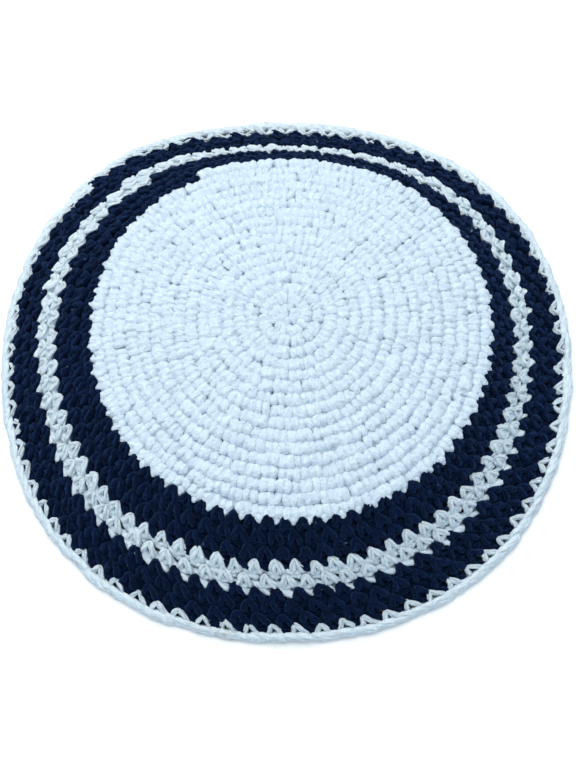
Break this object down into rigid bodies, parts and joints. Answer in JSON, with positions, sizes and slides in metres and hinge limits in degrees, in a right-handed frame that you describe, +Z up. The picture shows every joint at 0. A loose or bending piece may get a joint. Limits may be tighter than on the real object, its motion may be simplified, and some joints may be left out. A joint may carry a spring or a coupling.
{
  "type": "crocheted skullcap",
  "caption": "Round crocheted skullcap with a white crown, navy and white bands and a white edging, resting on its rim.",
  "frame": {"origin": "on the surface the cap rests on, in the middle of the rim's outline seen from above", "axes": "+Z up through the crown; the side nearest the picture's camera is towards -Y and +X is to its right"},
  "size_m": [0.1866, 0.1884, 0.0348],
  "materials": {
    "white_yarn": "matt crocheted cotton",
    "navy_yarn": "matt crocheted cotton"
  },
  "bodies": {
    "root": {"crown": "white_yarn", "inner_navy_band": "navy_yarn", "white_band": "white_yarn", "outer_navy_band": "navy_yarn", "edging": "white_yarn"}
  },
  "joints": []
}
